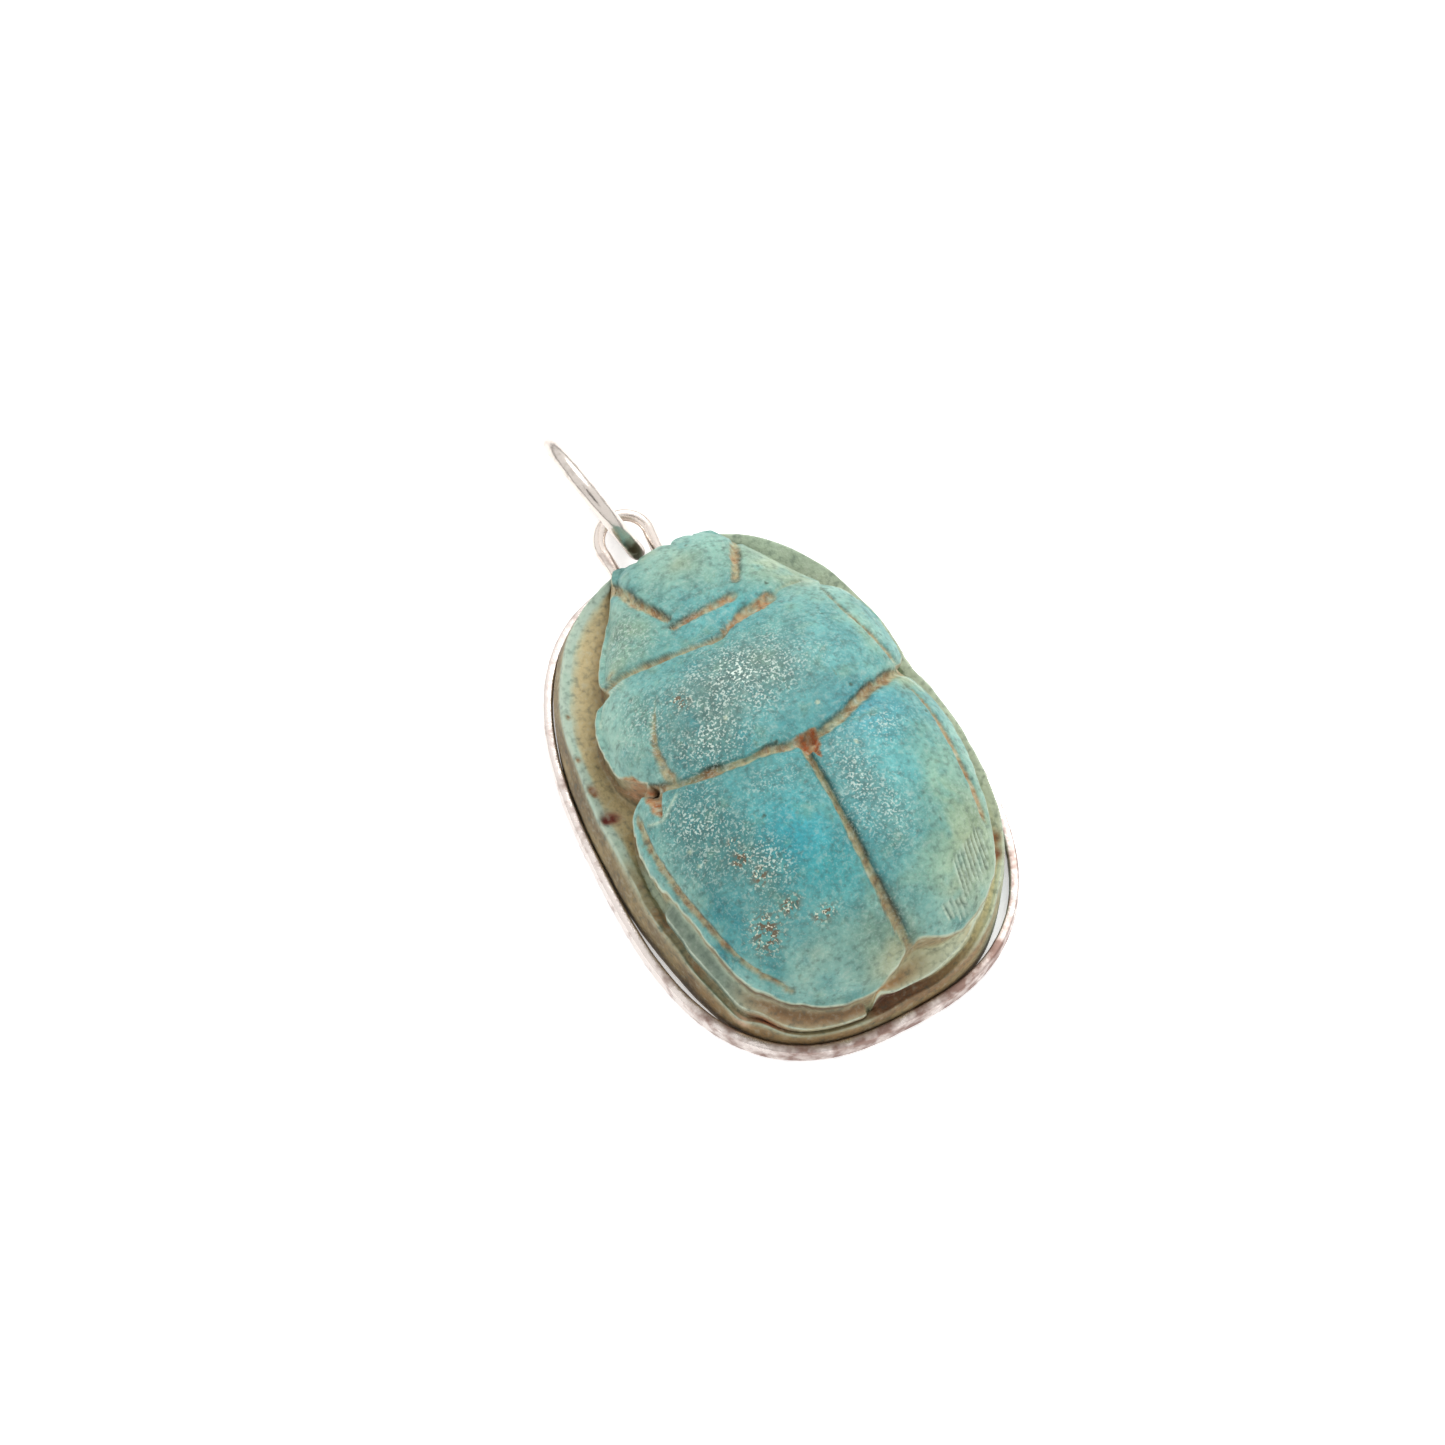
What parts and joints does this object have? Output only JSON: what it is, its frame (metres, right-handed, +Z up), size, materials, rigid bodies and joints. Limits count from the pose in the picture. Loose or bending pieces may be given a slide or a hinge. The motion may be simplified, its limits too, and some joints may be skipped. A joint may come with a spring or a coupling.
{
  "type": "scarab amulet",
  "caption": "Carved glazed scarab beetle with an oval flat base, held in a plain silver band with an eyelet and a loose hanging ring.",
  "frame": {"origin": "centre of the stone's flat underside, on the surface it lies on", "axes": "+Y from the tail to the beetle's head, +Z up from the flat underside to the back, +X to the right seen from above with the head away"},
  "size_m": [0.0194, 0.0346, 0.0093],
  "materials": {
    "glazed_stone": "worn turquoise glaze over carved stone, earth in the grooves",
    "silver": "worn, finely scratched silver",
    "ring_silver": "worn polished silver wire"
  },
  "bodies": {
    "root": {"scarab": "glazed_stone", "bezel": "silver", "eyelet": "silver", "jump_ring": "ring_silver"}
  },
  "joints": []
}
